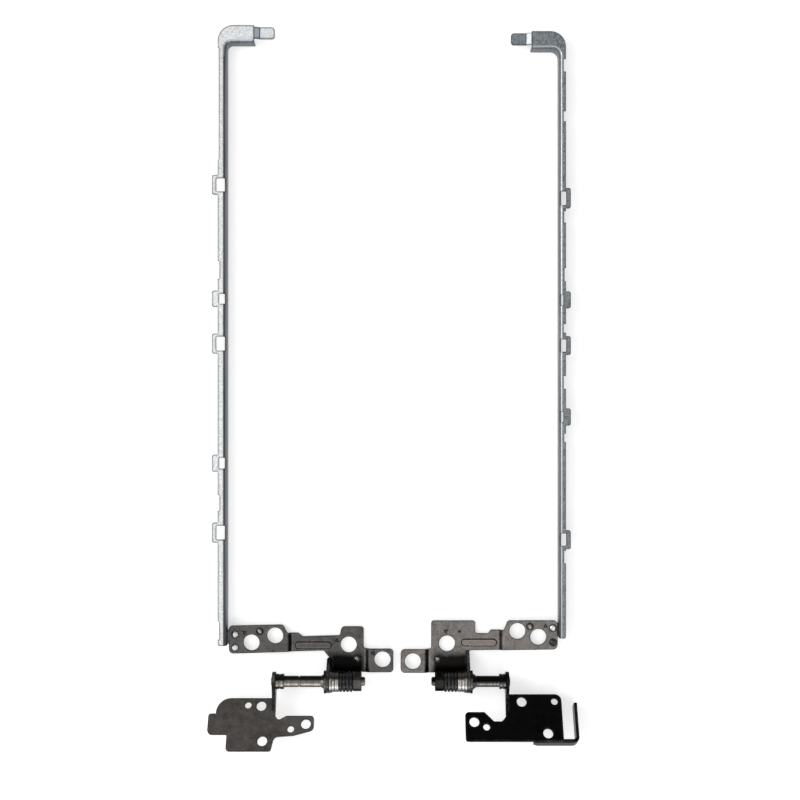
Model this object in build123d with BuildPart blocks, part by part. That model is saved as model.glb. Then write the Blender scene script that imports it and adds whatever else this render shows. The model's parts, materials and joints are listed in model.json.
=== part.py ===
from build123d import *
import math
import os

# Laptop hinge pair. Each hinge has a folded lid rail riveted to a pressed lid bracket, and a
# friction barrel whose shaft is riveted to a base bracket.
# Millimetres. X runs along the hinge line, Y up the lid and Z towards the screen side. The
# origin is on the hinge line, midway between the inner ends of the two lid brackets.
# Every piece is drawn as a right-hand one, with x measured outward from the middle, and the
# left-hand ones are mirrored.

# Sheet and levels
rail_sheet = 0.8
bracket_sheet = 1.2
bracket_bend = 0.4
axis_height = 6.0
rail_height = 5.0

# Rails
left_rail_inside = 60.9
right_rail_inside = 57.95
left_rail_width = 3.1
right_rail_width = 2.35
left_rail_end = 12.3
right_rail_end = 15.0
left_hook_top = 234.0
right_hook_top = 231.8
rail_fold = 1.5
hook_width = 6.2
hook_arm = 9.8
hook_step_run = 2.0
hook_step_drop = 0.9
hook_tip = 5.4
hook_tip_inset = 0.5
hook_tip_round = 1.1
hook_corner = 5.5
left_hook_throat = 1.8
right_hook_throat = 2.6
rail_end_round = 0.7
rail_edge_round = 0.4

# Rail tabs as (middle, length) up the rail, and how far they and their windows reach
left_tabs = [(177.0, 7.1), (136.3, 5.9), (120.3, 7.3), (77.6, 6.2), (52.8, 7.3)]
right_tabs = [(172.2, 7.3), (135.9, 6.1), (119.6, 6.8), (94.1, 6.2), (50.3, 6.8)]
left_tab_reach = 5.2
right_tab_reach = 4.1
tab_rim = 1.2
window_start = 0.4
long_tab = 6.5
long_window_rim = 1.6
short_window_rim = 2.6
tab_round = 0.8

# Shallow recesses in a rail's outer edge as (low end, high end, depth)
left_recesses = [(186.0, 226.0, 0.35), (143.5, 149.8, 0.6), (60.6, 66.3, 0.6), (14.6, 21.0, 0.5)]
right_recesses = [
    (217.4, 222.0, 0.8),
    (199.7, 203.3, 0.8),
    (163.5, 167.6, 0.6),
    (142.6, 147.3, 0.5),
    (124.2, 127.2, 0.8),
    (104.2, 108.7, 0.8),
    (85.1, 88.1, 0.6),
    (41.8, 46.3, 0.6),
]

# The foot that each rail turns under its lid bracket, and the rivets through both
foot_reach = 4.8
foot_setback = 0.9
left_foot_low = 9.7
left_foot_high = 17.4
right_foot_low = 11.6
right_foot_high = 19.8
left_rivets = [(58.2, 15.9), (58.2, 11.2)]
right_rivets = [(56.1, 18.2), (56.1, 13.1)]
rivet_shank = 1.5
rivet_head = 2.3
rivet_top = 1.3
rivet_rise = 0.4
fixed_gap = 0.02

# Lid brackets
pad_inner_end = 1.3
inner_step_end = 9.7
step_run = 1.4
left_outer_step = 38.2
right_outer_step = 37.0
left_bracket_end = 60.4
right_bracket_end = 57.75
left_foot_line = 2.3
right_foot_line = 2.1
left_ear_line = 7.6
right_ear_line = 10.1
lid_hole = 5.8
left_lid_holes = [(5.2, 6.9), (17.4, 12.1), (43.8, 15.5), (52.3, 13.0)]
right_lid_holes = [(5.7, 6.2), (18.0, 12.5), (43.3, 17.1), (50.8, 15.0)]
dimple_width = 2.2
dimple_rise = 0.45
dimple_rim = 0.2
left_dimples = [(49.3, 17.1), (14.4, 7.0)]
right_dimples = [(47.8, 18.8), (14.7, 6.9)]
bead_width = 2.5
bead_rise = 0.4
left_bead = (30.1, 11.9, 13.1)
right_bead = (29.5, 12.9, 12.8)

# Hinge barrel, from the lid bracket's ear inward
left_ear_inside = 23.95
right_ear_inside = 24.85
left_ear_root = 23.3
ear_lean_rise = 0.75
ear_radius = 4.1
running_gap = 0.05
journal_radius = 1.9
journal_flats = 2.7
thread_radius = 1.55
friction_plate = 0.9
shaft_washer = 0.9
pressure_ring = 1.5
washer_radius = 3.65
friction_radius = 4.0
ring_chamfer = 0.2
peg_radius = 0.5
peg_circle = 2.8
peg_length = 0.6
spring_sheet = 0.35
spring_dish = 0.26
spring_count = 8
spring_bore_gap = 0.12
lug_gap = 0.15
nut_flats = 6.0
nut_height = 3.1
nut_chamfer = 0.35
thread_stub = 1.3

# Hinge barrel, from the ear outward
stop_washer = 0.8
stop_radius = 4.1
stop_disc_radius = 3.3
stop_tab = 1.6
stop_play = 1.5
stop_tab_angle = 180.0
left_shoulder_radius = 2.6
right_shoulder_radius = 3.0
left_shoulder_run = 1.0
right_shoulder_run = 1.4
shaft_radius = 2.0
shaft_flat_depth = 0.3
shaft_flat_end = 0.3
bar_groove_middle = 34.8
bar_groove_width = 0.4
bar_groove_depth = 0.35
left_collar_start = 40.2
right_collar_start = 36.4
left_base_ear = 43.1
right_base_ear = 38.6
collar_radius = 2.7
collar_groove = 0.35
spigot_radius = 1.45
spigot_head_radius = 1.9
spigot_head = 0.4

# Base brackets: opened to the stop, with their plates this far below the hinge line
open_angle = 150.0
base_drop = 4.5
base_ear_radius = 3.4
base_screw_hole = 3.5
base_pin_hole = 2.4
left_base_screws = [(48.3, 7.5), (47.3, 19.9), (32.2, 13.9)]
left_base_pins = [(53.0, 7.2), (37.5, 15.7)]
right_base_screws = [(44.5, 6.0), (53.3, 17.2), (27.4, 13.2)]
right_base_pins = [(56.2, 5.9), (31.7, 15.0)]
base_ear_bend = 0.9
left_base_edge = 4.7
left_base_ear_end = 9.3
right_base_edge = 3.3
right_base_ear_end = 9.7
lip_fold = 0.8
lip_drop = 4.8
lip_start = 48.1
lip_gap = 4.4
lip_line = 20.4
lip_top = 6.3
lip_bend = 2.2
lip_chamfer = 1.6
lip_end_chamfer = 0.7
right_plate_end = 58.7

# Levels that follow from the sizes
lid_face = -axis_height
rail_top = lid_face + rail_height
foot_top = lid_face + rail_sheet
arm_under = lid_face
arm_top = arm_under + bracket_sheet
pad_top = foot_top + bracket_sheet
spring_pitch = spring_sheet + spring_dish
base_tilt = 180.0 - open_angle
base_top = -base_drop
base_under = base_top - bracket_sheet
lip_outside = right_plate_end + lip_gap + bracket_sheet
stop_circle = (stop_disc_radius + stop_radius) / 2
stop_half_angle = math.degrees(math.asin(stop_tab / 2 / stop_circle))
stop_lug_angle = stop_tab_angle + 2 * stop_half_angle + stop_play


def finish(piece, name, left, on_base=False):
    """Turn a base piece up to the stop, mirror a left-hand piece, label it and write its file."""
    with BuildPart() as placed:
        add(piece.part, rotation=(-base_tilt if on_base else 0, 0, 0))
        if left:
            mirror(about=Plane.YZ, mode=Mode.REPLACE)
    placed.part.label = name
    export_step(placed.part, f"parts/{name}.step")


def make_rail(name, left):
    """Folded rail: face flange with tabs, side wall, hooked top and a foot under the bracket."""
    inside = left_rail_inside if left else right_rail_inside
    width = left_rail_width if left else right_rail_width
    low_end = left_rail_end if left else right_rail_end
    top = left_hook_top if left else right_hook_top
    tabs = left_tabs if left else right_tabs
    reach = left_tab_reach if left else right_tab_reach
    recesses = left_recesses if left else right_recesses
    foot_low = left_foot_low if left else right_foot_low
    foot_high = left_foot_high if left else right_foot_high
    rivets = left_rivets if left else right_rivets
    hook_throat = left_hook_throat if left else right_hook_throat
    outside = inside + width
    lip_face = top - hook_width
    step_start = inside - hook_arm
    step_end = step_start - hook_step_run
    tip_end = step_end - hook_tip
    face_under = rail_top - rail_sheet
    wall_back = inside + rail_sheet
    fold_start = rail_top - rail_fold
    fold_end = inside + rail_fold

    with BuildPart() as rail:
        # Side wall and its fold, carried round the throat to make the hook's lip
        with BuildLine() as route:
            FilletPolyline(
                (inside, low_end),
                (inside, lip_face),
                (step_start, lip_face),
                radius=hook_throat,
            )
        with BuildSketch(Plane.XZ.offset(-low_end)):
            with BuildLine():
                Line((inside, lid_face), (inside, fold_start))
                TangentArc((inside, fold_start), (fold_end, rail_top), tangent=(0, 1))
                Line((fold_end, rail_top), (fold_end, face_under))
                TangentArc((fold_end, face_under), (wall_back, fold_start), tangent=(-1, 0))
                Polyline((wall_back, fold_start), (wall_back, lid_face), (inside, lid_face))
            make_face()
        sweep(path=route.line)
        # Face flange, with its tabs and the recesses in its outer edge
        with BuildSketch(Plane.XY.offset(face_under)) as face:
            with BuildLine():
                Polyline(
                    (fold_end, low_end),
                    (outside, low_end),
                    (outside, top),
                    (step_start, top),
                    (step_start, lip_face + rail_fold),
                    (fold_end, lip_face + rail_fold),
                    close=True,
                )
            make_face()
            fillet(face.vertices().sort_by_distance((outside, top, face_under))[0], hook_corner)
            inner_turn = (fold_end, lip_face + rail_fold, face_under)
            fillet(face.vertices().sort_by_distance(inner_turn)[0], hook_throat + rail_fold)
            for middle, length in tabs:
                with Locations((fold_end, middle)):
                    Rectangle(reach - rail_fold, length, align=(Align.MIN, Align.CENTER))
            tab_ends = face.vertices().group_by(Axis.X)[-1]
            fillet(tab_ends, tab_round)
            fillet(face.vertices().sort_by_distance((outside, low_end, face_under))[0], rail_end_round)
            for low, high, depth in recesses:
                with Locations((outside, (low + high) / 2)):
                    Rectangle(2 * depth, high - low, mode=Mode.SUBTRACT)
        extrude(amount=rail_sheet)
        # Stepped tip of the hook
        with BuildSketch(Plane.XZ.offset(-(top - hook_tip_inset))):
            with BuildLine():
                Polyline(
                    (step_start, rail_top),
                    (step_end, rail_top - hook_step_drop),
                    (tip_end, rail_top - hook_step_drop),
                    (tip_end, face_under - hook_step_drop),
                    (step_end, face_under - hook_step_drop),
                    (step_start, face_under),
                    close=True,
                )
            make_face()
        extrude(amount=hook_width - rail_fold - hook_tip_inset)
        fillet(rail.edges().filter_by(Axis.Z).group_by(Axis.X)[0], hook_tip_round)
        # Foot turned inward from the side wall, and carried on under the lid bracket
        with BuildSketch(Plane.XY.offset(lid_face)) as foot:
            with BuildLine():
                Polyline(
                    (wall_back, foot_high),
                    (inside - foot_reach, foot_high),
                    (inside - foot_reach, foot_low),
                    (inside - foot_setback, foot_low),
                    (inside - foot_setback, low_end),
                    (wall_back, low_end),
                    close=True,
                )
            make_face()
            fillet(foot.vertices().group_by(Axis.X)[0], tab_round)
        extrude(amount=rail_sheet)
        # A window in each tab, from the fold to the tab's rim
        with BuildSketch(Plane.XY.offset(fold_start)):
            for middle, length in tabs:
                rim = long_window_rim if length > long_tab else short_window_rim
                window_low = inside + window_start
                window_high = inside + reach - rim
                with Locations(((window_low + window_high) / 2, middle)):
                    RectangleRounded(
                        window_high - window_low,
                        length - 2 * tab_rim,
                        rail_edge_round,
                    )
        extrude(amount=rail_fold, mode=Mode.SUBTRACT)
        with Locations(*[(x, y, foot_top) for x, y in rivets]):
            Hole(rivet_shank / 2 + fixed_gap, depth=rail_sheet)
    finish(rail, name, left)


def draw_outline(outline):
    """Closed outline of corners given as (x, y, corner radius), in the open sketch."""
    with BuildSketch(mode=Mode.PRIVATE) as shape:
        with BuildLine():
            Polyline(*[(x, y) for x, y, corner in outline], close=True)
        make_face()
        for x, y, corner in outline:
            if corner:
                fillet(shape.vertices().sort_by_distance((x, y))[0], corner)
    add(shape.sketch)


def lid_outline(left):
    """Plan outline of a lid bracket as (x, y, corner radius), from its inner end round."""
    if left:
        ear_outside = left_ear_root + bracket_sheet
        return [
            (pad_inner_end, 10.7, 1.4),
            (pad_inner_end, left_foot_line, 1.4),
            (ear_outside, left_foot_line, 0),
            (ear_outside, left_ear_line, 0.5),
            (26.4, 10.0, 1.0),
            (left_bracket_end, 9.0, 1.6),
            (left_bracket_end, 19.0, 1.2),
            (41.0, 19.4, 1.3),
            (39.4, 16.3, 0.6),
            (35.6, 16.3, 0.6),
            (34.0, 15.0, 0.6),
            (20.6, 15.4, 0.5),
            (20.0, 18.6, 1.5),
            (12.0, 18.6, 1.0),
            (12.0, 10.7, 0.9),
        ]
    ear_outside = right_ear_inside + bracket_sheet
    return [
        (pad_inner_end, 10.5, 1.5),
        (pad_inner_end, right_foot_line, 1.5),
        (ear_outside, right_foot_line, 0),
        (ear_outside, right_ear_line, 0.6),
        (right_bracket_end, 10.5, 1.8),
        (right_bracket_end, 20.9, 1.5),
        (39.9, 20.9, 1.3),
        (38.4, 17.4, 0.6),
        (33.8, 17.4, 0.5),
        (32.8, 16.1, 0.5),
        (28.2, 16.1, 0.9),
        (28.2, 20.7, 1.0),
        (12.3, 20.7, 1.0),
        (12.3, 10.5, 0.8),
    ]


def make_lid_bracket(name, left):
    """Pressed bracket: stepped pads, screw holes, a stiffening bead and an ear for the shaft."""
    ear_inside = left_ear_inside if left else right_ear_inside
    ear_root = left_ear_root if left else right_ear_inside
    bracket_end = left_bracket_end if left else right_bracket_end
    outer_step = left_outer_step if left else right_outer_step
    holes = left_lid_holes if left else right_lid_holes
    dimples = left_dimples if left else right_dimples
    rivets = left_rivets if left else right_rivets
    bead_x, bead_y, bead_length = left_bead if left else right_bead
    outline = lid_outline(left)
    foot_line = left_foot_line if left else right_foot_line
    ear_line = left_ear_line if left else right_ear_line
    high_line = max(y for x, y, corner in outline)
    ear_outside = ear_inside + bracket_sheet
    lean_end = arm_top + ear_lean_rise

    with BuildPart() as ear:
        # The ear stands on the sheet's edge; a leaning root sets the left one outward
        with BuildSketch(Plane.XZ.offset(ear_radius)) as section:
            with BuildLine():
                Polyline(
                    (ear_root, arm_under),
                    (ear_root, arm_top),
                    (ear_inside, lean_end),
                    (ear_inside, ear_radius),
                    (ear_outside, ear_radius),
                    (ear_outside, lean_end),
                    (ear_root + bracket_sheet, arm_top),
                    (ear_root + bracket_sheet, arm_under),
                    close=True,
                )
            make_face()
        extrude(amount=-(ear_radius + ear_line))
        with BuildSketch(Plane.YZ.offset(ear_root)):
            Circle(ear_radius)
            with Locations((foot_line, arm_under)):
                Rectangle(ear_line - foot_line, bracket_sheet, align=(Align.MIN, Align.MIN))
            make_hull()
        extrude(amount=ear_outside - ear_root, mode=Mode.INTERSECT)
        # Lug that the stop washer's tabs run against
        with BuildSketch(Plane.YZ.offset(ear_outside)):
            Rectangle(
                stop_radius,
                stop_tab,
                rotation=stop_lug_angle,
                align=(Align.MIN, Align.CENTER),
            )
            Circle(stop_disc_radius + lug_gap, mode=Mode.SUBTRACT)
        extrude(amount=stop_washer)
        with BuildSketch(Plane.YZ.offset(ear_inside)):
            Circle(journal_radius + running_gap)
            with Locations((0, -peg_circle)):
                Circle(peg_radius + fixed_gap)
        extrude(amount=bracket_sheet, mode=Mode.SUBTRACT)

    with BuildPart() as bracket:
        # Stepped sheet, cut to the plan outline
        with BuildSketch(Plane.XZ.offset(-foot_line)):
            with BuildLine():
                FilletPolyline(
                    (pad_inner_end, foot_top),
                    (inner_step_end, foot_top),
                    (inner_step_end + step_run, arm_under),
                    (outer_step, arm_under),
                    (outer_step + step_run, foot_top),
                    (bracket_end, foot_top),
                    radius=bracket_bend,
                )
                offset(amount=bracket_sheet, side=Side.LEFT)
            make_face()
        extrude(amount=foot_line - high_line)
        with BuildSketch(Plane.XY.offset(lid_face)):
            draw_outline(outline)
        extrude(amount=pad_top - lid_face, mode=Mode.INTERSECT)
        add(ear.part)
        with Locations(*[(x, y, pad_top) for x, y in holes]):
            Hole(lid_hole / 2, depth=pad_top - lid_face)
        with Locations(*[(x, y, pad_top) for x, y in rivets]):
            Hole(rivet_shank / 2 + fixed_gap, depth=bracket_sheet)
        # Stiffening bead, pressed up from below
        with BuildSketch(Plane.XY.offset(arm_top)):
            with Locations((bead_x, bead_y)):
                SlotOverall(bead_length, bead_width)
        extrude(amount=bead_rise, taper=30)
        with BuildSketch(Plane.XY.offset(arm_under)):
            with Locations((bead_x, bead_y)):
                SlotOverall(bead_length - 2 * bead_rise, bead_width - 2 * bead_rise)
        extrude(amount=bead_rise, taper=30, mode=Mode.SUBTRACT)
        # Round dimples, pressed up from the arm and from the outer pad
        for x, y in dimples:
            level = foot_top if x > outer_step else arm_under
            outer_cap = (level + bracket_sheet, dimple_width / 2, Mode.ADD)
            inner_cap = (level, dimple_width / 2 - dimple_rim, Mode.SUBTRACT)
            for base, radius, mode in (outer_cap, inner_cap):
                ball_radius = (radius**2 + dimple_rise**2) / (2 * dimple_rise)
                with BuildSketch(Plane((x, y, base), x_dir=(1, 0, 0), z_dir=(0, -1, 0))):
                    with BuildLine():
                        Polyline((0, dimple_rise), (0, 0), (radius, 0))
                        RadiusArc((radius, 0), (0, dimple_rise), -ball_radius)
                    make_face()
                revolve(axis=Axis((x, y, base), (0, 0, 1)), mode=mode)
    finish(bracket, name, left)


def make_rail_rivets(name, left):
    """The two rivets that hold a rail's foot under its lid bracket."""
    rivets = left_rivets if left else right_rivets
    with BuildPart() as pair:
        with Locations(*[(x, y, lid_face) for x, y in rivets]):
            Cylinder(
                rivet_shank / 2,
                pad_top - lid_face,
                align=(Align.CENTER, Align.CENTER, Align.MIN),
            )
        with Locations(*[(x, y, pad_top) for x, y in rivets]):
            Cone(
                rivet_head / 2,
                rivet_top / 2,
                rivet_rise,
                align=(Align.CENTER, Align.CENTER, Align.MIN),
            )
    finish(pair, name, left)


def make_friction_plate(name, left):
    """Plate pegged to the lid bracket's ear, which the shaft washer rubs on."""
    ear_inside = left_ear_inside if left else right_ear_inside
    with BuildPart() as plate:
        with BuildSketch(Plane.YZ.offset(ear_inside)):
            Circle(friction_radius)
            Circle(journal_radius + running_gap, mode=Mode.SUBTRACT)
        extrude(amount=-friction_plate)
        with BuildSketch(Plane.YZ.offset(ear_inside)):
            with Locations((0, -peg_circle)):
                Circle(peg_radius)
        extrude(amount=peg_length)
    finish(plate, name, left)


def make_keyed_washer(name, left, outer_face, thickness, rim_chamfer=0.0):
    """Washer with a double-flat bore that turns with the shaft."""
    with BuildPart() as washer:
        Cylinder(
            washer_radius,
            thickness,
            rotation=(0, 90, 0),
            align=(Align.CENTER, Align.CENTER, Align.CENTER),
        )
        if rim_chamfer:
            chamfer(washer.edges().filter_by(GeomType.CIRCLE), rim_chamfer)
        with BuildSketch(Plane.YZ.offset(-thickness / 2)):
            Circle(journal_radius + fixed_gap)
            Rectangle(4 * journal_radius, journal_flats + 2 * fixed_gap, mode=Mode.INTERSECT)
        extrude(amount=thickness, mode=Mode.SUBTRACT)
    with BuildPart() as placed:
        with Locations((outer_face - thickness / 2, 0, 0)):
            add(washer.part)
    finish(placed, name, left, on_base=True)


def make_stop_washer(name, left):
    """Keyed washer whose two tabs meet the ear's lug at fully open and fully closed."""
    ear_inside = left_ear_inside if left else right_ear_inside
    inner_face = ear_inside + bracket_sheet + running_gap
    open_tab = stop_tab_angle + base_tilt
    closed_tab = 4 * stop_half_angle + 2 * stop_play
    with BuildPart() as washer:
        with BuildSketch(Plane.YZ.offset(inner_face)):
            Circle(stop_disc_radius)
            for angle in (open_tab, closed_tab):
                Rectangle(
                    stop_radius,
                    stop_tab,
                    rotation=angle,
                    align=(Align.MIN, Align.CENTER),
                )
        extrude(amount=stop_washer)
        with BuildSketch(Plane.YZ.offset(inner_face)):
            Circle(journal_radius + fixed_gap)
            Rectangle(4 * journal_radius, journal_flats + 2 * fixed_gap, mode=Mode.INTERSECT)
        extrude(amount=stop_washer, mode=Mode.SUBTRACT)
    finish(washer, name, left, on_base=True)


def make_disc_spring(name, left, outer_face, rim_first):
    """Shallow cone of spring steel; the discs face each other in pairs."""
    bore = thread_radius + spring_bore_gap
    rim_shift = 0 if rim_first else spring_dish
    bore_shift = spring_dish if rim_first else 0
    with BuildPart() as disc:
        with BuildSketch(Plane.XY):
            with BuildLine():
                Polyline(
                    (outer_face - bore_shift, bore),
                    (outer_face - rim_shift, washer_radius),
                    (outer_face - rim_shift - spring_sheet, washer_radius),
                    (outer_face - bore_shift - spring_sheet, bore),
                    close=True,
                )
            make_face()
        revolve(axis=Axis.X)
    finish(disc, name, left, on_base=True)


def make_lock_nut(name, left, outer_face):
    """Hexagon nut that sets the springs' load."""
    corner_radius = nut_flats / math.sqrt(3)
    with BuildPart() as nut:
        with BuildSketch(Plane.YZ.offset(outer_face - nut_height)):
            RegularPolygon(nut_flats / 2, 6, major_radius=False, rotation=30)
            Circle(thread_radius + fixed_gap, mode=Mode.SUBTRACT)
        extrude(amount=nut_height)
        with BuildSketch(Plane.XY):
            with BuildLine():
                Polyline(
                    (outer_face - nut_height, 0),
                    (outer_face - nut_height, corner_radius - nut_chamfer),
                    (outer_face - nut_height + nut_chamfer / 2, corner_radius),
                    (outer_face - nut_chamfer / 2, corner_radius),
                    (outer_face, corner_radius - nut_chamfer),
                    (outer_face, 0),
                    close=True,
                )
            make_face()
        revolve(axis=Axis.X, mode=Mode.INTERSECT)
    finish(nut, name, left, on_base=True)


def make_shaft(name, left, springs_start, thread_end):
    """Hinge shaft: thread and two flats inside, shoulder, flatted bar, collar and spigot."""
    ear_inside = left_ear_inside if left else right_ear_inside
    shoulder = ear_inside + bracket_sheet + running_gap + stop_washer
    bar_start = shoulder + (left_shoulder_run if left else right_shoulder_run)
    collar_start = left_collar_start if left else right_collar_start
    base_ear = left_base_ear if left else right_base_ear
    shoulder_radius = left_shoulder_radius if left else right_shoulder_radius
    collar_middle = (collar_start + base_ear) / 2
    spigot_end = base_ear + bracket_sheet
    groove = collar_groove / 2
    with BuildPart() as shaft:
        # Round sections inside the barrel, then the two flats that key the washers
        with BuildSketch(Plane.XY):
            with BuildLine():
                Polyline(
                    (thread_end, 0),
                    (thread_end, thread_radius - nut_chamfer),
                    (thread_end + nut_chamfer, thread_radius),
                    (springs_start, thread_radius),
                    (springs_start, journal_radius),
                    (shoulder, journal_radius),
                    (shoulder, 0),
                    close=True,
                )
            make_face()
        revolve(axis=Axis.X)
        with BuildSketch(Plane.YZ.offset(thread_end)):
            Rectangle(4 * journal_radius, journal_flats)
        extrude(amount=shoulder - thread_end, mode=Mode.INTERSECT)
        # Shoulder, bar, grooved collar, and the spigot riveted over in the base bracket's ear
        with BuildSketch(Plane.XY):
            with BuildLine():
                Polyline(
                    (shoulder, 0),
                    (shoulder, shoulder_radius),
                    (bar_start, shaft_radius),
                    (collar_start, shaft_radius),
                    (collar_start, collar_radius),
                    (collar_middle - groove, collar_radius),
                    (collar_middle - groove, collar_radius - collar_groove),
                    (collar_middle + groove, collar_radius - collar_groove),
                    (collar_middle + groove, collar_radius),
                    (base_ear, collar_radius),
                    (base_ear, spigot_radius),
                    (spigot_end, spigot_radius),
                    (spigot_end, spigot_head_radius),
                    (spigot_end + spigot_head / 2, spigot_head_radius),
                    (spigot_end + spigot_head, spigot_radius),
                    (spigot_end + spigot_head, 0),
                    close=True,
                )
            make_face()
        revolve(axis=Axis.X)
        # Flats along the bar, above and below, and a groove round the longer one
        flat_start = bar_start + shaft_flat_end
        flat_stop = collar_start - shaft_flat_end
        with Locations(*[((flat_start + flat_stop) / 2, 0, z) for z in (-shaft_radius, shaft_radius)]):
            Box(
                flat_stop - flat_start,
                2 * shaft_radius,
                2 * shaft_flat_depth,
                mode=Mode.SUBTRACT,
            )
        if left:
            with BuildSketch(Plane.YZ.offset(bar_groove_middle - bar_groove_width / 2)):
                Circle(2 * shaft_radius)
                Circle(shaft_radius - bar_groove_depth, mode=Mode.SUBTRACT)
            extrude(amount=bar_groove_width, mode=Mode.SUBTRACT)
    finish(shaft, name, left, on_base=True)


def base_outline(left):
    """Plan outline of a base bracket's plate as (x, y, corner radius), before it is tilted."""
    if left:
        return [
            (left_base_ear, -left_base_edge, 0),
            (64.3, -left_base_edge, 5.2),
            (64.3, -10.2, 0),
            (66.9, -10.2, 1.0),
            (66.9, -17.6, 1.6),
            (60.0, -17.6, 0.6),
            (60.0, -23.4, 1.1),
            (44.3, -23.4, 1.0),
            (43.3, -18.4, 1.8),
            (36.5, -17.9, 1.0),
            (29.4, -16.0, 1.8),
            (29.4, -11.0, 1.2),
            (39.2, -11.0, 0.8),
            (42.0, -12.6, 1.0),
            (left_base_ear, -11.2, 0),
        ]
    return [
        (right_base_ear, -right_base_edge, 0),
        (right_plate_end, -right_base_edge, 2.3),
        (right_plate_end, -20.0, 0),
        (24.2, -20.0, 1.0),
        (24.2, -9.7, 1.4),
        (31.1, -9.7, 0.8),
        (34.4, -13.0, 0.8),
        (37.2, -13.0, 0.8),
        (right_base_ear, -11.4, 0),
    ]


def make_base_bracket(name, left):
    """Flat bracket for the keyboard side, with an ear for the shaft; the right one has a lip."""
    base_ear = left_base_ear if left else right_base_ear
    ear_start = left_base_edge if left else right_base_edge
    ear_end = left_base_ear_end if left else right_base_ear_end
    screws = left_base_screws if left else right_base_screws
    pins = left_base_pins if left else right_base_pins
    with BuildPart() as base:
        with BuildSketch(Plane.XY.offset(base_under)):
            draw_outline(base_outline(left))
        extrude(amount=bracket_sheet)
        if not left:
            # Lip folded down from the plate's edge, carried past its corner and turned up its side
            with BuildSketch(Plane.XY.offset(base_top - lip_drop)) as lip:
                with BuildLine():
                    Polyline(
                        (lip_start, -lip_line),
                        (lip_outside, -lip_line),
                        (lip_outside, -lip_top),
                        (lip_outside - bracket_sheet, -lip_top),
                        (lip_outside - bracket_sheet, bracket_sheet - lip_line),
                        (lip_start, bracket_sheet - lip_line),
                        close=True,
                    )
                make_face()
                fillet(lip.vertices().sort_by_distance((lip_outside, -lip_line))[0], lip_bend)
                inner_turn = (lip_outside - bracket_sheet, bracket_sheet - lip_line)
                fillet(lip.vertices().sort_by_distance(inner_turn)[0], lip_bend - bracket_sheet)
            extrude(amount=lip_drop)
            low = base.edges().filter_by(lambda e: abs(e.center().Z - base_top + lip_drop) < 0.01)
            chamfer(low.filter_by(Axis.Y).sort_by(Axis.X)[0], lip_chamfer)
            low = base.edges().filter_by(lambda e: abs(e.center().Z - base_top + lip_drop) < 0.01)
            chamfer(low.filter_by(Axis.X).sort_by(Axis.Y)[-1], lip_end_chamfer)
            fold = base.edges().filter_by(Axis.X).filter_by(
                lambda e: abs(e.center().Z - base_top) < 0.01 and abs(e.center().Y + lip_line) < 0.01
            )
            fillet(fold, lip_fold)
        # Ear folded up from the plate's inner edge
        with BuildSketch(Plane.YZ.offset(base_ear)):
            Circle(base_ear_radius)
            with Locations((-ear_end, base_under)):
                Rectangle(ear_end - ear_start, bracket_sheet, align=(Align.MIN, Align.MIN))
            make_hull()
        extrude(amount=bracket_sheet)
        bend = base.edges().filter_by(Axis.Y).filter_by(
            lambda e: abs(e.center().X - base_ear) < 0.01 and abs(e.center().Z - base_under) < 0.01
        )
        fillet(bend, base_ear_bend)
        with BuildSketch(Plane.YZ.offset(base_ear)):
            Circle(spigot_radius + fixed_gap)
        extrude(amount=bracket_sheet, mode=Mode.SUBTRACT)
        with Locations(*[(x, -down, base_top) for x, down in screws]):
            Hole(base_screw_hole / 2, depth=bracket_sheet)
        with Locations(*[(x, -down, base_top) for x, down in pins]):
            Hole(base_pin_hole / 2, depth=bracket_sheet)
    finish(base, name, left, on_base=True)


os.makedirs("parts", exist_ok=True)
for left, side in ((True, "left"), (False, "right")):
    washer_face = (left_ear_inside if left else right_ear_inside) - friction_plate - running_gap
    ring_face = washer_face - shaft_washer
    springs_face = ring_face - pressure_ring
    nut_face = springs_face - spring_count * spring_pitch
    make_rail(f"{side}_rail", left)
    make_lid_bracket(f"{side}_lid_bracket", left)
    make_rail_rivets(f"{side}_rail_rivets", left)
    make_friction_plate(f"{side}_friction_plate", left)
    make_base_bracket(f"{side}_base_bracket", left)
    make_shaft(f"{side}_shaft", left, springs_face, nut_face - nut_height - thread_stub)
    make_stop_washer(f"{side}_stop_washer", left)
    make_keyed_washer(f"{side}_shaft_washer", left, washer_face, shaft_washer)
    make_keyed_washer(f"{side}_pressure_ring", left, ring_face, pressure_ring, ring_chamfer)
    for number in range(spring_count):
        spring_face = springs_face - number * spring_pitch
        make_disc_spring(f"{side}_disc_spring_{number + 1}", left, spring_face, number % 2 == 1)
    make_lock_nut(f"{side}_lock_nut", left, nut_face)
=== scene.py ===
import json
import math

import bmesh
import bpy
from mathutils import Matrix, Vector


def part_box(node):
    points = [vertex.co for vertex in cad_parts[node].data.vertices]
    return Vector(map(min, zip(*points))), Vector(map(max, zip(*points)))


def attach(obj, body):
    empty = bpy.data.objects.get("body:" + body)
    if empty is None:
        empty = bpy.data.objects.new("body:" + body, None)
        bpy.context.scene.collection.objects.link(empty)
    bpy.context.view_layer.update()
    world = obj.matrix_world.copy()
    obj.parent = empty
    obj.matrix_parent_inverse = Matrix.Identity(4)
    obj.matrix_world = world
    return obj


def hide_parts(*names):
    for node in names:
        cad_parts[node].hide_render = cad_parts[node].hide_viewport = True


MM = 0.001

# The photograph's view, straight down on the pair
CAMERA_X = 1.08 * MM
CAMERA_Y = 100.17 * MM
CAMERA_HEIGHT = 425.2 * MM
VIEW_WIDTH = 288.0
VIEW_DISTANCE = 430.0
SENSOR = 36.0

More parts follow.
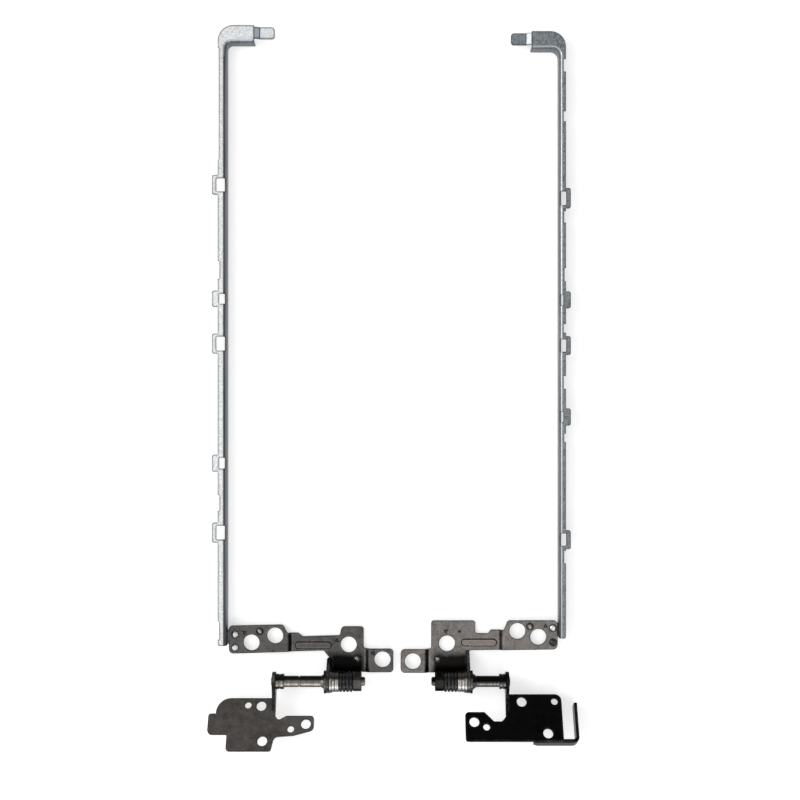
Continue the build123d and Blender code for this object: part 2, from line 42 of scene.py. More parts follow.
# Places and sizes that the details share with the solids
TABLE = -6.0 * MM
ARM_TOP = -4.8 * MM
PAD_TOP = -4.0 * MM
BARREL_REACH = 10.6 * MM
BASE_TILT = math.radians(30)
THREAD_RADIUS = 1.55 * MM
THREAD_FLATS = 2.7 * MM
DIMPLE_RADIUS = 1.1 * MM
RIVET_RADIUS = 1.15 * MM
BEAD_RADIUS = 1.25 * MM

# Sizes of the added thread and of the dark sleeve of painted shade between the disc springs; the ridge's
# foot is a share of its pitch and depth, and its clearance the angle in radians that it keeps from each
# flat
THREAD_PITCH = 0.35 * MM
THREAD_DEPTH = 0.1 * MM
THREAD_START = 0.35 * MM
THREAD_STEPS = 12
THREAD_FOOT = 0.4
THREAD_CLEARANCE = 0.04
GAP_SHADE_RADIUS = 3.3 * MM
GAP_SHADE_RIPPLE = 0.06 * MM
GAP_SHADE_ROWS = 40
GAP_SHADE_SPOKES = 48

# Painted dark reflection on the lid bracket beside the barrel, and the barrel's grey middle between two
# places in Y, with painted shade beyond it
DARK_REFLECTION_DEPTH = 3.0 * MM
DARK_REFLECTION_FADE = 0.9 * MM
DARK_REFLECTION_BESIDE = 0.3 * MM
MIDDLE_LOW = -2.2 * MM
MIDDLE_HIGH = 1.1 * MM

# Where painted light on the left base bracket begins along X, and where it is brightest
ARM_LIGHT_SPAN = (-44.0 * MM, -36.0 * MM)

# Features of each lid bracket that the finish follows, as places in mm along X and Y
DIMPLES = {"left": [(-49.3, 17.1), (-14.4, 7.0)], "right": [(47.8, 18.8), (14.7, 6.9)]}
RIVETS = {"left": [(-58.2, 15.9), (-58.2, 11.2)], "right": [(56.1, 18.2), (56.1, 13.1)]}
BEADS = {"left": (-30.1, 11.9, 13.1), "right": (29.5, 12.9, 12.8)}

# Small triangles on each lid bracket, as x and y in mm, level, and turn in degrees
MARK_REACH = 1.0 * MM
MARK_LINE = 0.32 * MM
MARK_RISE = 0.02 * MM
DOT_REACH = 0.5 * MM
DOT_CORNERS = 16
DOT = (22.5, 16.8)
TRIANGLES = {
    "left": [(-21.6, 13.6, ARM_TOP, 90), (-54.9, 16.6, PAD_TOP, -90), (-8.6, 9.2, PAD_TOP, 180)],
    "right": [(17.6, 17.0, ARM_TOP, -90), (53.4, 18.9, PAD_TOP, 90)],
}

# Ends of the step in each rail's hook, in mm along X, and where the left hook starts along Y
HOOK_STEPS = {"left": (-51.1, -49.1), "right": (46.15, 48.15)}
HOOK_START = 222.0 * MM
HOOK_FADE = 4.0 * MM

# The right rail's foot lies within these limits, and is drawn back from the screw hole above it
FOOT_END = 54.0 * MM
FOOT_TOP = -5.1 * MM
FOOT_BACK = 22.0 * MM
FOOT_DRAWN = 0.8 * MM

# Colours that several finishes share, black for oil smears and painted shade on the barrels and grey for
# painted shade on the zinc walls and edges, and the one rivet that is dull, the lower one on the right
BLACK_OIL_AND_SHADE = (0.012, 0.011, 0.010)
ZINC_SHADE = (0.14, 0.15, 0.16)
DULL_RIVET = tuple(MM * value for value in RIVETS["right"][1])

# Flatness at which an edge's mask and the line beside it begin and end, and the line's softness
EDGE = (0.9, 0.985)
BESIDE_EDGE = (0.982, 0.996, 0.003)
PLATED_OUTLINE = 0.8 * MM

# Table and the wall far round it
TABLE_WIDTH = 24.0
WALL_AWAY = 11.0
WALL_HEIGHT = 4.2
WALL_SIDES = 64

# Which way the flat faces of the level and the tilted pieces look
LEVEL = (0.0, 0.0, 1.0)
TILTED = (0.0, math.sin(BASE_TILT), math.cos(BASE_TILT))

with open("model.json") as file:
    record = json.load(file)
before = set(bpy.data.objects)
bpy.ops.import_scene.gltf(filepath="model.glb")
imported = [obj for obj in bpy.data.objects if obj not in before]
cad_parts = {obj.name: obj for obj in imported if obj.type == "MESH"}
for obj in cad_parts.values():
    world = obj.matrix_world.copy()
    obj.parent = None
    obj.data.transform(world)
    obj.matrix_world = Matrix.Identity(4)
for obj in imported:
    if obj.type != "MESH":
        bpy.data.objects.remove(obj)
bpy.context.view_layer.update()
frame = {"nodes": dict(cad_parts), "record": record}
scene = bpy.context.scene
nodes = frame["nodes"]


class Shader:
    """Small helper that adds and links the nodes of one material."""

    def __init__(self, name):
        self.material = bpy.data.materials.new(name)
        self.material.use_nodes = True
        self.tree = self.material.node_tree
        self.tree.nodes.clear()
        self.output = self.add("ShaderNodeOutputMaterial")
        self.coords = self.add("ShaderNodeTexCoord").outputs["Object"]

    def add(self, kind, **settings):
        node = self.tree.nodes.new(kind)
        for key, value in settings.items():
            setattr(node, key, value)
        return node

    def link(self, source, target):
        self.tree.links.new(source, target)

    def feed(self, socket, value):
        """Link a node's output to a socket, or set the socket to a plain value."""
        if isinstance(value, bpy.types.NodeSocket):
            self.link(value, socket)
        elif isinstance(value, tuple):
            socket.default_value = (*value, 1.0)
        else:
            socket.default_value = value

    def mapping(self, scale):
        node = self.add("ShaderNodeMapping")
        node.inputs["Scale"].default_value = scale
        self.link(self.coords, node.inputs["Vector"])
        return node.outputs["Vector"]

    def noise(self, scale, detail=4.0, roughness=0.6, vector=None):
        node = self.add("ShaderNodeTexNoise")
        node.inputs["Scale"].default_value = scale
        node.inputs["Detail"].default_value = detail
        node.inputs["Roughness"].default_value = roughness
        self.link(vector or self.coords, node.inputs["Vector"])
        return node.outputs["Fac"]

    def cells(self, scale):
        """A grey value for each crystal of about 1/scale across."""
        node = self.add("ShaderNodeTexVoronoi")
        node.inputs["Scale"].default_value = scale
        self.link(self.coords, node.inputs["Vector"])
        grey = self.add("ShaderNodeRGBToBW")
        self.link(node.outputs["Color"], grey.inputs["Color"])
        return grey.outputs[0]

    def span(self, value, low, high, from_low=0.0, from_high=1.0):
        node = self.add("ShaderNodeMapRange")
        node.inputs["From Min"].default_value = from_low
        node.inputs["From Max"].default_value = from_high
        node.inputs["To Min"].default_value = low
        node.inputs["To Max"].default_value = high
        self.link(value, node.inputs["Value"])
        return node.outputs["Result"]

    def math(self, operation, first, second):
        node = self.add("ShaderNodeMath", operation=operation)
        self.feed(node.inputs[0], first)
        self.feed(node.inputs[1], second)
        return node.outputs[0]

    def mix(self, factor, first, second):
        node = self.add("ShaderNodeMix", data_type="RGBA")
        self.feed(node.inputs[0], factor)
        self.feed(node.inputs[6], first)
        self.feed(node.inputs[7], second)
        return node.outputs[2]

    def part(self, vector, axis):
        node = self.add("ShaderNodeSeparateXYZ")
        self.link(vector, node.inputs[0])
        return node.outputs[axis]

    def tilt(self, direction):
        """1 where the object's own normal lies along a direction, either way, down to 0 across it."""
        dot = self.add("ShaderNodeVectorMath", operation="DOT_PRODUCT")
        self.link(self.add("ShaderNodeTexCoord").outputs["Normal"], dot.inputs[0])
        dot.inputs[1].default_value = direction
        return self.math("ABSOLUTE", dot.outputs["Value"], 0.0)

    def gap_to(self, centre, half_length=0.0):
        """Distance in the XY plane from a point, or from a line along X of a given half length."""
        offset = self.add("ShaderNodeVectorMath", operation="SUBTRACT")
        self.link(self.coords, offset.inputs[0])
        offset.inputs[1].default_value = (*centre, 0.0)
        beside = self.math("ABSOLUTE", self.part(offset.outputs[0], "X"), 0.0)
        flat = self.add("ShaderNodeCombineXYZ")
        self.link(self.math("MAXIMUM", self.math("SUBTRACT", beside, half_length), 0.0), flat.inputs[0])
        self.link(self.part(offset.outputs[0], "Y"), flat.inputs[1])
        length = self.add("ShaderNodeVectorMath", operation="LENGTH")
        self.link(flat.outputs[0], length.inputs[0])
        return length.outputs["Value"]

    def line_at(self, gap, radius, width):
        """1 along a line at one distance, with soft sides."""
        away = self.math("ABSOLUTE", self.math("SUBTRACT", gap, radius), 0.0)
        return self.span(away, 1.0, 0.0, width * 0.3, width * 0.7)

    def between(self, value, low, high, soft):
        """1 where a value lies between two limits, with soft ends."""
        rises = self.span(value, 0.0, 1.0, low - soft, low + soft)
        falls = self.span(value, 1.0, 0.0, high - soft, high + soft)
        return self.math("MULTIPLY", rises, falls)

    def rounded(self, radius):
        """Normal that is rounded over edges."""
        bevel = self.add("ShaderNodeBevel", samples=6)
        bevel.inputs["Radius"].default_value = radius
        return bevel.outputs["Normal"]

    def flatness(self, reach):
        """1 on a flat face, and less within reach of a sharp edge."""
        dot = self.add("ShaderNodeVectorMath", operation="DOT_PRODUCT")
        self.link(self.rounded(reach), dot.inputs[0])
        self.link(self.add("ShaderNodeNewGeometry").outputs["Normal"], dot.inputs[1])
        return dot.outputs["Value"]

    def edge(self, flatness):
        """1 along every sharp edge."""
        return self.span(flatness, 1.0, 0.0, *EDGE)

    def beside_edge(self, flatness):
        """1 along a thin line beside every sharp edge."""
        return self.between(flatness, *BESIDE_EDGE)

    def seen(self):
        """1 for the rays that show a background: straight, glossy and refracted ones."""
        path = self.add("ShaderNodeLightPath")
        straight = self.math("ADD", path.outputs["Is Camera Ray"], path.outputs["Is Glossy Ray"])
        every = self.math("ADD", straight, path.outputs["Is Transmission Ray"])
        return self.math("MINIMUM", every, 1.0)

    def bump(self, height, strength, distance, normal=None):
        node = self.add("ShaderNodeBump")
        node.inputs["Strength"].default_value = strength
        node.inputs["Distance"].default_value = distance
        self.link(height, node.inputs["Height"])
        if normal is not None:
            self.link(normal, node.inputs["Normal"])
        return node.outputs["Normal"]

    def surface(self, colour, roughness, normal, glance=1.0):
        """Metal surface; glance is how bright it is seen at a flat angle."""
        node = self.add("ShaderNodeBsdfPrincipled")
        node.inputs["Metallic"].default_value = 1.0
        node.inputs["Specular Tint"].default_value = (glance, glance, glance, 1.0)
        self.feed(node.inputs["Base Color"], colour)
        self.feed(node.inputs["Roughness"], roughness)
        self.link(normal, node.inputs["Normal"])
        self.link(node.outputs["BSDF"], self.output.inputs["Surface"])
        return self.material


def shade(colour, factor):
    return tuple(min(1.0, channel * factor) for channel in colour)


def zinc(side, face, speck, bend_highlight, spangle, outline):
    """Galvanised sheet: crystal spangle on the faces, drawn streaks and painted shade on the wall, a
    painted highlight along the bend, and painted shade along the hook's steps and the cut edges.

    spangle is how many crystals there are to a metre, and outline the width in mm of the painted shade
    along edges.
    """
    shader = Shader(f"zinc_{side}")
    crystals = shader.cells(spangle)
    pepper = shader.noise(spangle * 1.7, 3.0, 0.75)
    patches = shader.noise(90.0, 4.0, 0.6)
    streaks = shader.noise(1400.0, 3.0, 0.5, shader.mapping((1.0, 0.02, 1.0)))
    grain = shader.math("ADD", shader.math("MULTIPLY", crystals, 0.5), pepper)
    sheet = shader.mix(shader.span(grain, 0.0, 1.0, 0.5, 0.84), speck, face)
    sheet = shader.mix(shader.span(patches, 0.0, 0.35, 0.45, 0.75), sheet, shade(face, 0.8))
    drawn = shader.span(streaks, 0.0, 1.0, 0.35, 0.65)
    # Painted shade on the upright walls, with the drawn streaks in it
    wall_with_shade = shader.mix(drawn, shade(ZINC_SHADE, 0.75), shade(ZINC_SHADE, 1.25))
    tilt = shader.tilt(LEVEL)
    colour = shader.mix(shader.span(tilt, 0.0, 1.0, 0.95, 0.995), wall_with_shade, sheet)
    # Painted highlight along the bend between face and wall
    bend_highlight_mask = shader.between(tilt, 0.86, 0.95, 0.02)
    if side == "left":
        # On this rail the bend keeps the wall's painted shade, and the painted highlight on the bend lies
        # only on the hook's step
        along = shader.part(shader.coords, "Y")
        hook = shader.span(along, 0.0, 1.0, HOOK_START, HOOK_START + HOOK_FADE)
        bend_highlight_mask = shader.math("MULTIPLY", bend_highlight_mask, hook)
    colour = shader.mix(bend_highlight_mask, colour, bend_highlight)
    edge_shade_colour = shade(ZINC_SHADE, 0.4)
    # Painted shade lines along the ends of the step in each hook
    for place in HOOK_STEPS[side]:
        step_shade = shader.line_at(shader.part(shader.coords, "X"), place * MM, 0.4 * MM)
        colour = shader.mix(shader.math("MULTIPLY", step_shade, 0.85), colour, edge_shade_colour)
    # Painted shade along every sharp edge
    edge = shader.edge(shader.flatness(outline * MM))
    colour = shader.mix(shader.math("MULTIPLY", edge, 0.85), colour, edge_shade_colour)
    soft_normal = shader.rounded(0.14 * MM)
    roughness = shader.span(grain, 0.3, 0.5, 0.4, 1.1)
    height = shader.math("ADD", shader.math("MULTIPLY", streaks, 0.5), pepper)
    return shader.surface(colour, roughness, shader.bump(height, 0.15, 0.04 * MM, soft_normal))


def plated(name, colour, wear_and_highlight, roughness, grain, flat=None, dress=None, glance=1.0):
    """Dark plated steel: pressed grain, mottling, painted shade on bends, walls and cut edges, and a line
    beside the edges that is partly rubbed wear and partly painted highlight.

    flat is the way its flat faces look, with painted shade on faces turned away from it, and dress a
    function that adds to its colour.
    """
    shader = Shader(name)
    clouds = shader.noise(70.0, 2.0, 0.5)
    mottle = shader.noise(420.0, 5.0, 0.7)
    specks = shader.noise(2400.0, 3.0, 0.75)
    tone = shader.math("ADD", shader.math("MULTIPLY", mottle, 0.6), shader.math("MULTIPLY", specks, 0.6))
    tint = shader.mix(shader.span(tone, 0.0, 1.0, 0.42, 0.78), shade(colour, 0.4), shade(colour, 1.6))
    tint = shader.mix(shader.span(clouds, 0.0, 0.35, 0.35, 0.65), tint, shade(colour, 1.5))
    if dress:
        tint = dress(shader, tint, colour, wear_and_highlight)
    # Painted shade on every face that turns away from the flat faces
    if flat:
        tint = shader.mix(shader.span(shader.tilt(flat), 0.0, 1.0, 0.88, 0.985), shade(colour, 0.12), tint)
    # Painted shade along every sharp edge, and beside it a patchy line that is partly rubbed wear and
    # partly painted highlight
    flatness = shader.flatness(PLATED_OUTLINE)
    tint = shader.mix(shader.math("MULTIPLY", shader.edge(flatness), 0.85), tint, shade(colour, 0.12))
    patchy = shader.span(mottle, 0.1, 0.75, 0.42, 0.62)
    rubbed_and_highlight = shader.math("MULTIPLY", shader.beside_edge(flatness), patchy)
    tint = shader.mix(rubbed_and_highlight, tint, wear_and_highlight)
    soft_normal = shader.rounded(0.25 * MM)
    rough = shader.span(tone, roughness - 0.06, roughness + 0.09, 0.4, 0.8)
    height = shader.math("ADD", shader.math("MULTIPLY", mottle, 0.6), specks)
    return shader.surface(tint, rough, shader.bump(height, grain, 0.04 * MM, soft_normal), glance)


def turned(name, bright, dark, roughness, lit=(-2.4, 1.7), smeared=0.6, dull=None, rim=0.35):
    """Turned steel: rings about the hinge line, a painted highlight in a band along Y, painted shade
    beyond it, and random dark smears.

    lit is the stretch in mm along Y of the painted highlight, dull a place that is dark, and rim the width
    in mm of the painted shade along edges.
    """
    shader = Shader(name)
    rings = shader.noise(1.0, 3.0, 0.6, shader.mapping((9000.0, 30.0, 30.0)))
    bands = shader.noise(1.0, 2.0, 0.5, shader.mapping((1600.0, 20.0, 20.0)))
    smears = shader.noise(700.0, 4.0, 0.65)
    tint = shader.mix(shader.span(bands, 0.0, 1.0, 0.38, 0.62), shade(bright, 0.6), shade(bright, 1.2))
    tint = shader.mix(shader.span(smears, 0.0, smeared, 0.52, 0.64), tint, dark)
    if dull:
        near = shader.span(shader.gap_to(dull), 1.0, 0.0, RIVET_RADIUS, 2 * RIVET_RADIUS)
        tint = shader.mix(near, tint, dark)
    else:
        # Painted highlight in the band along Y, painted shade on either side of it
        height = shader.part(shader.coords, "Y")
        tint = shader.mix(shader.between(height, lit[0] * MM, lit[1] * MM, 0.3 * MM), dark, tint)
    # Painted shade along every sharp edge
    edge = shader.edge(shader.flatness(rim * MM))
    tint = shader.mix(shader.math("MULTIPLY", edge, 0.6), tint, dark)
    soft_normal = shader.rounded(0.12 * MM)
    rough = shader.span(smears, roughness - 0.06, roughness + 0.12, 0.3, 0.7)
    return shader.surface(tint, rough, shader.bump(rings, 0.3, 0.03 * MM, soft_normal))


def lid_details(side):
    """Painted dark reflection beside the barrel, a tinted bead with a painted highlight and a painted
    shade line, painted highlights in the dimples, and painted shade lines round the pressed and riveted
    places.
    """
    nut_low, nut_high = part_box(f"{side}_lock_nut")
    plate_low, plate_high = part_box(f"{side}_friction_plate")
    low = min(nut_low[0], plate_low[0]) - DARK_REFLECTION_BESIDE
    high = max(nut_high[0], plate_high[0]) + DARK_REFLECTION_BESIDE
    bead_x, bead_y, bead_length = (MM * value for value in BEADS[side])

    def dress(shader, tint, colour, wear_and_highlight):
        sway = shader.span(shader.noise(260.0, 3.0, 0.5), -0.5 * MM, 0.5 * MM, 0.3, 0.7)
        across = shader.math("ADD", shader.part(shader.coords, "X"), sway)
        along = shader.math("ADD", shader.part(shader.coords, "Y"), sway)
        # Painted dark reflection on the plate beside the barrel
        dark_reflection = shader.math(
            "MULTIPLY",
            shader.between(across, low, high, DARK_REFLECTION_FADE),
            shader.span(along, 1.0, 0.0, BARREL_REACH - DARK_REFLECTION_DEPTH, BARREL_REACH),
        )
        tint = shader.mix(shader.math("MULTIPLY", dark_reflection, 0.97), tint, shade(colour, 0.03))
        bead = shader.gap_to((bead_x, bead_y), bead_length / 2 - BEAD_RADIUS)
        inside = shader.span(bead, 0.3, 0.0, BEAD_RADIUS * 0.7, BEAD_RADIUS)
        warmer = (1.6 * colour[0], 1.3 * colour[1], 1.25 * colour[2])
        tint = shader.mix(inside, tint, warmer)
        # Painted highlight along the bead's crest and a painted shade line round its foot
        bead_highlight = shader.line_at(bead, BEAD_RADIUS - 0.35 * MM, 0.3 * MM)
        tint = shader.mix(bead_highlight, tint, shade(colour, 2.2))
        bead_shade_line = shader.line_at(bead, BEAD_RADIUS, 0.32 * MM)
        tint = shader.mix(bead_shade_line, tint, shade(colour, 0.1))
        pressed = [(place, DIMPLE_RADIUS, 0.7) for place in DIMPLES[side]]
        riveted = [(place, RIVET_RADIUS, 0.0) for place in RIVETS[side]]
        for (x, y), radius, shine in pressed + riveted:
            # Painted highlight in each dimple, and a painted shade ring round each dimple and rivet
            gap = shader.gap_to((x * MM, y * MM))
            tint = shader.mix(shader.span(gap, shine, 0.0, radius * 0.7, radius * 0.8), tint, wear_and_highlight)
            ring = shader.line_at(gap, radius + 0.1 * MM, 0.38 * MM)
            tint = shader.mix(ring, tint, shade(colour, 0.06))
        return tint

    return dress


def painted_shade_on_sides(shader, tint, colour, wear_and_highlight):
    """Grey middle of the barrel, and painted shade on its sides up and down the lid."""
    height = shader.part(shader.coords, "Y")
    middle = shader.between(height, MIDDLE_LOW, MIDDLE_HIGH, 0.15 * MM)
    return shader.mix(middle, shade(colour, 0.2), tint)


def painted_light_on_arm(shader, tint, colour, wear_and_highlight):
    """Painted light that makes the left base bracket's inward arm paler."""
    inward = shader.span(shader.part(shader.coords, "X"), 0.0, 0.35, *ARM_LIGHT_SPAN)
    return shader.mix(inward, tint, shade(colour, 2.3))


def lid_steel(side, colour, wear_and_highlight, roughness):
    return plated(f"lid_steel_{side}", colour, wear_and_highlight, roughness, 0.3, flat=LEVEL, dress=lid_details(side))


materials = {
    # The left rail's near-white zinc and the right rail's dark grey zinc are lit and shaded copies of one
    # zinc: painted light on the left rail, painted shade on the right one
    "zinc_left": zinc(
        "left",
        face=(0.93, 0.94, 0.95),
        speck=(0.42, 0.44, 0.46),
        bend_highlight=(0.68, 0.78, 0.88),
        spangle=3600.0,
        outline=1.3,
    ),
    "zinc_right": zinc(
        "right",
        face=(0.30, 0.33, 0.35),
        speck=(0.08, 0.10, 0.11),
        bend_highlight=(0.5, 0.52, 0.53),
        spangle=1900.0,
        outline=0.85,
    ),
    "lid_steel_left": lid_steel("left", (0.094, 0.090, 0.086), (0.40, 0.39, 0.38), 0.3),
    "lid_steel_right": lid_steel("right", (0.185, 0.17, 0.16), (0.46, 0.44, 0.42), 0.28),
    "rivet_steel": turned(
        "rivet_steel", (1.1, 1.1, 1.1), (0.06, 0.06, 0.06), 0.3, smeared=0.1, dull=DULL_RIVET, rim=0.2
    ),
    "friction_steel": turned("friction_steel", (0.42, 0.40, 0.37), (0.05, 0.046, 0.04), 0.28),
    "shaft_steel": turned(
        "shaft_steel", (0.30, 0.28, 0.255), BLACK_OIL_AND_SHADE, 0.34, lit=(-1.3, 0.7), smeared=0.3
    ),
    "base_steel_left": plated(
        "base_steel_left", (0.088, 0.08, 0.076), (0.24, 0.22, 0.2), 0.4, 0.45, flat=TILTED, dress=painted_light_on_arm
    ),
    "base_steel_right": plated(
        "base_steel_right", (0.0055, 0.0055, 0.006), (0.13, 0.14, 0.15), 0.2, 0.1, flat=TILTED, glance=0.6
    ),
    "washer_steel": turned(
        "washer_steel", (0.52, 0.50, 0.47), (0.05, 0.046, 0.042), 0.3, lit=(-2.4, 1.3)
    ),
    "spring_steel": plated(
        "spring_steel", (0.07, 0.07, 0.08), (0.3, 0.3, 0.31), 0.3, 0.2, dress=painted_shade_on_sides, glance=0.5
    ),
    "nut_steel": plated(
        "nut_steel", (0.088, 0.082, 0.078), (0.3, 0.3, 0.29), 0.32, 0.25, dress=painted_shade_on_sides, glance=0.4
    ),
}

# Pieces that look darker than the others of their slot
dark_turned = turned("dark_turned", (0.13, 0.12, 0.11), BLACK_OIL_AND_SHADE, 0.3)
own_materials = {
    "left_stop_washer": dark_turned,
    "right_stop_washer": dark_turned,
    "right_shaft": turned(
        "dark_shaft_steel", (0.15, 0.14, 0.13), (0.006, 0.006, 0.006), 0.3, lit=(-1.4, 0.1), smeared=0.35
    ),
    "right_lock_nut": plated(
        "dark_nut_steel", (0.03, 0.028, 0.027), (0.12, 0.12, 0.11), 0.3, 0.25, dress=painted_shade_on_sides, glance=0.3
    ),
}

slot_of = {part["node"]: part["material_slot"] for part in frame["record"]["subparts"]}
for node_name, node_object in nodes.items():
    for slot in node_object.material_slots:
        slot.material = own_materials.get(node_name, materials[slot_of[node_name]])


def draw_back_foot():
    """Right rail whose foot stays clear of the screw hole above it."""
    data = nodes["right_rail"].data.copy()
    for vertex in data.vertices:
        place = vertex.co
        if place.x < FOOT_END and place.y < FOOT_BACK and place.z < FOOT_TOP:
            place.x += FOOT_DRAWN
    rail = bpy.data.objects.new("right_rail_sheet", data)
    scene.collection.objects.link(rail)
    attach(rail, "lid_side")
    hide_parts("right_rail")


def add_mesh(name, mesh, material, body):
    """Object from a finished bmesh, riding on a body."""
    data = bpy.data.meshes.new(name)
    mesh.to_mesh(data)
    mesh.free()
    data.materials.append(material)
    piece = bpy.data.objects.new(name, data)
    scene.collection.objects.link(piece)
    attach(piece, body)


def add_line_mark(mesh, x, y, level, corners, turn, outer, inner):
    """Thin raised line round a regular polygon, from its outer reach in to its inner one."""
    rims = []
    for reach, height in ((outer, 0.0), (outer, MARK_RISE), (inner, MARK_RISE), (inner, 0.0)):
        rim = []
        for corner in range(corners):
            angle = math.radians(turn) + 2 * math.pi * corner / corners
            spot = (x * MM + reach * math.cos(angle), y * MM + reach * math.sin(angle), level + height)
            rim.append(mesh.verts.new(spot))
        rims.append(rim)
    for first, second in zip(rims, rims[1:] + rims[:1]):
        for corner in range(corners):
            following = (corner + 1) % corners
            mesh.faces.new((first[corner], first[following], second[following], second[corner]))


def add_marks(side):
    """Small outlined triangles on a lid bracket, and a dot on the right one."""
    mesh = bmesh.new()
    for x, y, level, turn in TRIANGLES[side]:
        add_line_mark(mesh, x, y, level, 3, turn, MARK_REACH, MARK_REACH - 2 * MARK_LINE)
    if side == "right":
        add_line_mark(mesh, *DOT, ARM_TOP, DOT_CORNERS, 0, DOT_REACH, DOT_REACH / 8)
    bmesh.ops.recalc_face_normals(mesh, faces=mesh.faces)
    add_mesh(f"{side}_triangle_marks", mesh, mark_steel, "lid_side")


def add_thread(side):
    """Ridge of the screw thread on the stub past the lock nut, broken by the shaft's flats."""
    sign = -1 if side == "left" else 1
    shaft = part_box(f"{side}_shaft")
    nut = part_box(f"{side}_lock_nut")
    stub_end = min(abs(shaft[0][0]), abs(shaft[1][0]))
    nut_face = min(abs(nut[0][0]), abs(nut[1][0]))
    start = stub_end + THREAD_START
    turns = (nut_face - start - THREAD_PITCH / 2) / THREAD_PITCH
    half_arc = math.asin(THREAD_FLATS / 2 / THREAD_RADIUS) - THREAD_CLEARANCE
    mesh = bmesh.new()
    for half_turn in range(int(2 * turns)):
        rows = []
        for step in range(THREAD_STEPS + 1):
            swing = half_arc * (2 * step / THREAD_STEPS - 1)
            angle = math.pi * half_turn + swing
            along = start + THREAD_PITCH * (angle + half_arc) / (2 * math.pi)
            fade = min(1.0, 4 * min(step, THREAD_STEPS - step) / THREAD_STEPS)
            turn = angle - BASE_TILT
            row = []
            for offset, rise in ((-THREAD_FOOT, -THREAD_FOOT), (0.0, fade), (THREAD_FOOT, -THREAD_FOOT)):
                radius = THREAD_RADIUS + rise * THREAD_DEPTH
                x = sign * (along + offset * THREAD_PITCH)
                row.append(mesh.verts.new((x, radius * math.cos(turn), radius * math.sin(turn))))
            rows.append(row)
        for low, high in zip(rows, rows[1:]):
            for corner in range(3):
                following = (corner + 1) % 3
                mesh.faces.new((low[corner], low[following], high[following], high[corner]))
        mesh.faces.new(rows[0])
        mesh.faces.new(list(reversed(rows[-1])))
    bmesh.ops.recalc_face_normals(mesh, faces=mesh.faces)
    add_mesh(f"{side}_thread", mesh, dark_turned, f"{side}_base")


def add_spring_gap_shade(side):
    """Dark sleeve of painted shade that fills the grooves between the disc springs, with a rippled skin.
    """
    boxes = [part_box(name) for name in nodes if name.startswith(f"{side}_disc_spring_")]
    start = min(low[0] for low, high in boxes)
    end = max(high[0] for low, high in boxes)
    mesh = bmesh.new()
    rings = []
    for row in range(GAP_SHADE_ROWS + 1):
        ring = []
        for spoke in range(GAP_SHADE_SPOKES):
            angle = 2 * math.pi * spoke / GAP_SHADE_SPOKES
            ripple = math.sin(5 * angle + 1.7 * row) + 0.7 * math.sin(3 * angle - 0.9 * row)
            radius = GAP_SHADE_RADIUS + GAP_SHADE_RIPPLE * ripple
            x = start + (end - start) * row / GAP_SHADE_ROWS
            ring.append(mesh.verts.new((x, radius * math.cos(angle), radius * math.sin(angle))))
        rings.append(ring)
    for low, high in zip(rings, rings[1:]):
        for spoke in range(GAP_SHADE_SPOKES):
            following = (spoke + 1) % GAP_SHADE_SPOKES
            mesh.faces.new((low[spoke], low[following], high[following], high[spoke])).smooth = True
    mesh.faces.new(rings[0])
    mesh.faces.new(rings[-1])
    bmesh.ops.recalc_face_normals(mesh, faces=mesh.faces)
    add_mesh(f"{side}_spring_gap_shade", mesh, gap_shade, f"{side}_base")


mark_steel = plated("mark_steel", (0.012, 0.012, 0.012), (0.05, 0.05, 0.05), 0.4, 0.2)
# Black material for the sleeve that stands for the shade between the disc springs: painted shade
gap_shade = plated("gap_shade", (0.012, 0.012, 0.011), (0.04, 0.04, 0.04), 0.25, 0.4)
for side in ("left", "right"):
    add_marks(side)
    add_thread(side)
    add_spring_gap_shade(side)
draw_back_foot()


def build_stage():
    """White table that keeps a soft shadow."""
    shader = Shader("table_white")
    diffuse = shader.add("ShaderNodeBsdfDiffuse")
    diffuse.inputs["Color"].default_value = (0.72, 0.72, 0.72, 1)
    glow = shader.add("ShaderNodeEmission")
    shader.link(shader.math("MULTIPLY", shader.seen(), 0.5), glow.inputs["Strength"])
    both = shader.add("ShaderNodeAddShader")
    shader.link(diffuse.outputs[0], both.inputs[0])
    shader.link(glow.outputs[0], both.inputs[1])
    shader.link(both.outputs[0], shader.output.inputs["Surface"])
    bpy.ops.mesh.primitive_plane_add(size=TABLE_WIDTH, location=(0, 0, TABLE))
    table = bpy.context.object
    table.name = "table"
    table.data.materials.append(shader.material)


def build_backdrop():
    """White wall far round the table, seen from low angles, that lets the world's light through."""
    shader = Shader("backdrop_white")
    through = shader.add("ShaderNodeBsdfTransparent")
    glow = shader.add("ShaderNodeEmission")
    wall_or_none = shader.add("ShaderNodeMixShader")
    shader.link(shader.seen(), wall_or_none.inputs[0])
    shader.link(through.outputs[0], wall_or_none.inputs[1])
    shader.link(glow.outputs[0], wall_or_none.inputs[2])
    shader.link(wall_or_none.outputs[0], shader.output.inputs["Surface"])
    mesh = bmesh.new()
    lower = []
    upper = []
    for step in range(WALL_SIDES):
        angle = 2 * math.pi * step / WALL_SIDES
        x = WALL_AWAY * math.cos(angle)
        y = WALL_AWAY * math.sin(angle)
        lower.append(mesh.verts.new((x, y, TABLE)))
        upper.append(mesh.verts.new((x, y, WALL_HEIGHT)))
    for step in range(WALL_SIDES):
        following = (step + 1) % WALL_SIDES
        mesh.faces.new((lower[step], lower[following], upper[following], upper[step]))
    data = bpy.data.meshes.new("backdrop")
    mesh.to_mesh(data)
    mesh.free()
    data.materials.append(shader.material)
    wall = bpy.data.objects.new("backdrop", data)
    scene.collection.objects.link(wall)


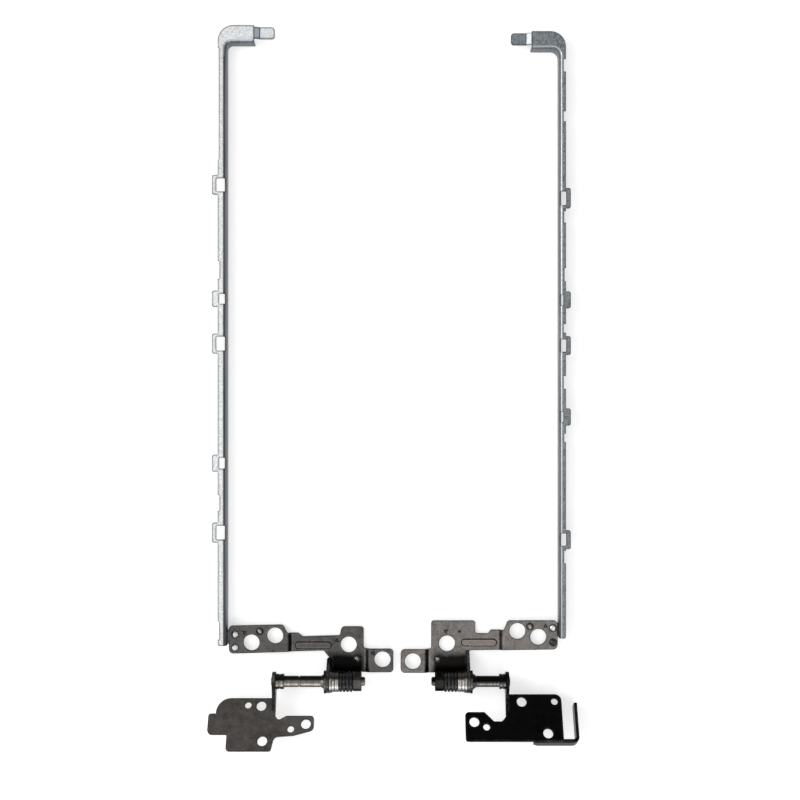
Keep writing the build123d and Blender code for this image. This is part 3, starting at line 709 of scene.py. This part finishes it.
def build_world():
    """Pale surroundings, brightest overhead, dimmer to the right, up the lid and at the horizon."""
    world = bpy.data.worlds.new("studio")
    world.use_nodes = True
    tree = world.node_tree
    direction = tree.nodes.new("ShaderNodeTexCoord").outputs["Generated"]
    parts = tree.nodes.new("ShaderNodeSeparateXYZ")
    tree.links.new(direction, parts.inputs[0])
    ramps = []
    for axis, start, end, least in (("X", 0.1, 0.75, 0.3), ("Y", 0.15, 0.9, 0.45), ("Z", 0.95, 0.1, 0.6)):
        ramp = tree.nodes.new("ShaderNodeMapRange")
        ramp.inputs["From Min"].default_value = start
        ramp.inputs["From Max"].default_value = end
        ramp.inputs["To Min"].default_value = 1.0
        ramp.inputs["To Max"].default_value = least
        tree.links.new(parts.outputs[axis], ramp.inputs["Value"])
        ramps.append(ramp.outputs["Result"])
    strength = ramps[0]
    for ramp in ramps[1:]:
        product = tree.nodes.new("ShaderNodeMath")
        product.operation = "MULTIPLY"
        tree.links.new(strength, product.inputs[0])
        tree.links.new(ramp, product.inputs[1])
        strength = product.outputs[0]
    background = tree.nodes["Background"]
    background.inputs["Color"].default_value = (1, 1, 1, 1)
    tree.links.new(strength, background.inputs["Strength"])
    scene.world = world


def soft_box(name, place, target, width, height, watts):
    """Rectangular area lamp aimed at a point."""
    lamp = bpy.data.lights.new(name, "AREA")
    lamp.shape = "RECTANGLE"
    lamp.size = width
    lamp.size_y = height
    lamp.energy = watts
    holder = bpy.data.objects.new(name, lamp)
    holder.location = place
    holder.rotation_euler = (Vector(target) - Vector(place)).to_track_quat("-Z", "Y").to_euler()
    scene.collection.objects.link(holder)


def build_camera():
    """Camera straight above, framed as the photograph."""
    data = bpy.data.cameras.new("camera")
    data.sensor_width = SENSOR
    data.lens = SENSOR * VIEW_DISTANCE / VIEW_WIDTH
    data.clip_start = 0.01
    camera = bpy.data.objects.new("camera", data)
    camera.location = (CAMERA_X, CAMERA_Y, CAMERA_HEIGHT)
    scene.collection.objects.link(camera)
    scene.camera = camera


build_stage()
build_backdrop()
build_world()
soft_box("left_lamp", (-0.8, 0.3, 0.6), (0, 0.1, 0), 0.5, 0.7, 4.0)
soft_box("near_lamp", (0.1, -0.7, 0.5), (0, 0.0, 0), 0.6, 0.3, 2.0)
build_camera()

scene.view_settings.view_transform = "Standard"
